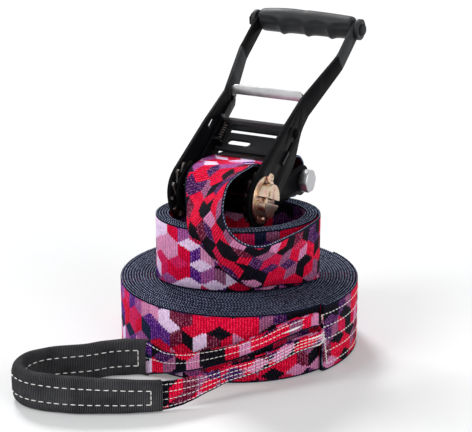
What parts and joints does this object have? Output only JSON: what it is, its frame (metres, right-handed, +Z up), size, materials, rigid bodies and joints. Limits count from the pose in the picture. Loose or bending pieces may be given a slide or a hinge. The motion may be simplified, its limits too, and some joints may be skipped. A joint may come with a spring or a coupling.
{
  "type": "ratchet slackline set",
  "caption": "Flat webbing slackline packed as two rolls, with a sewn eye in a sleeve and a long-handled ratchet standing in the upper roll.",
  "frame": {"origin": "on the axis of the round roll, at the surface that the set lies on", "axes": "+Z up, along the round roll's axis; +X to the right and +Y away from someone who looks at the ratchet's open side"},
  "size_m": [0.2483, 0.275, 0.2235],
  "materials": {
    "printed_webbing": "printed polyester webbing",
    "dark_webbing": "woven polyester edge",
    "black_sleeve": "ribbed black webbing",
    "black_painted_steel": "black powder coat",
    "zinc_plated_steel": "clear zinc plating",
    "yellow_zinc_steel": "yellow zinc plating",
    "dark_grey_plastic": "fine moulded grain"
  },
  "bodies": {
    "packed_line": {"main_line_core": "dark_webbing", "main_line_roll": "printed_webbing", "eye_webbing": "printed_webbing", "eye_sleeve": "black_sleeve", "ratchet_strap_roll": "printed_webbing", "ratchet_strap_run": "printed_webbing", "base_frame": "black_painted_steel", "spacer_tube": "zinc_plated_steel", "tail_bolt": "zinc_plated_steel", "tail_nut": "zinc_plated_steel", "stop_pawl_spring_left": "zinc_plated_steel", "stop_pawl_spring_right": "zinc_plated_steel"},
    "spindle": {"spindle_half_upper": "yellow_zinc_steel", "spindle_half_lower": "yellow_zinc_steel", "ratchet_wheel_left": "yellow_zinc_steel", "ratchet_wheel_right": "yellow_zinc_steel", "spindle_washer_left": "yellow_zinc_steel", "spindle_washer_right": "yellow_zinc_steel", "cotter_pin_left": "zinc_plated_steel", "cotter_pin_right": "zinc_plated_steel"},
    "handle": {"handle_frame": "black_painted_steel", "flange_rivet_left": "black_painted_steel", "flange_rivet_right": "black_painted_steel", "drive_pawl_spring_left": "zinc_plated_steel", "drive_pawl_spring_right": "zinc_plated_steel", "handle_grip": "dark_grey_plastic", "grip_cap_left": "dark_grey_plastic", "grip_cap_right": "dark_grey_plastic", "grip_bolt": "zinc_plated_steel", "grip_nut": "zinc_plated_steel"},
    "drive_pawl": {"drive_pawl": "zinc_plated_steel"},
    "stop_pawl": {"stop_pawl": "black_painted_steel"}
  },
  "joints": [
    {"name": "handle_swing", "type": "hinge", "parent": "packed_line", "child": "handle", "pos_m": [-0.0116, -0.015, 0.1157], "axis": [0.8894, -0.4571, 0], "range_deg": [0, 110]},
    {"name": "spindle_turn", "type": "hinge", "parent": "packed_line", "child": "spindle", "pos_m": [-0.0116, -0.015, 0.1157], "axis": [0.8894, -0.4571, 0], "range_deg": [-100, 150]},
    {"name": "drive_pawl_slide", "type": "slide", "parent": "handle", "child": "drive_pawl", "axis": [0.3763, 0.7321, 0.5679], "range_m": [0, 0.008], "stiffness_N_per_m": 500, "deforming": ["drive_pawl_spring_left", "drive_pawl_spring_right"]},
    {"name": "stop_pawl_slide", "type": "slide", "parent": "packed_line", "child": "stop_pawl", "axis": [0.4571, 0.8894, 0], "range_m": [0, 0.005], "stiffness_N_per_m": 500, "deforming": ["stop_pawl_spring_left", "stop_pawl_spring_right"]}
  ]
}
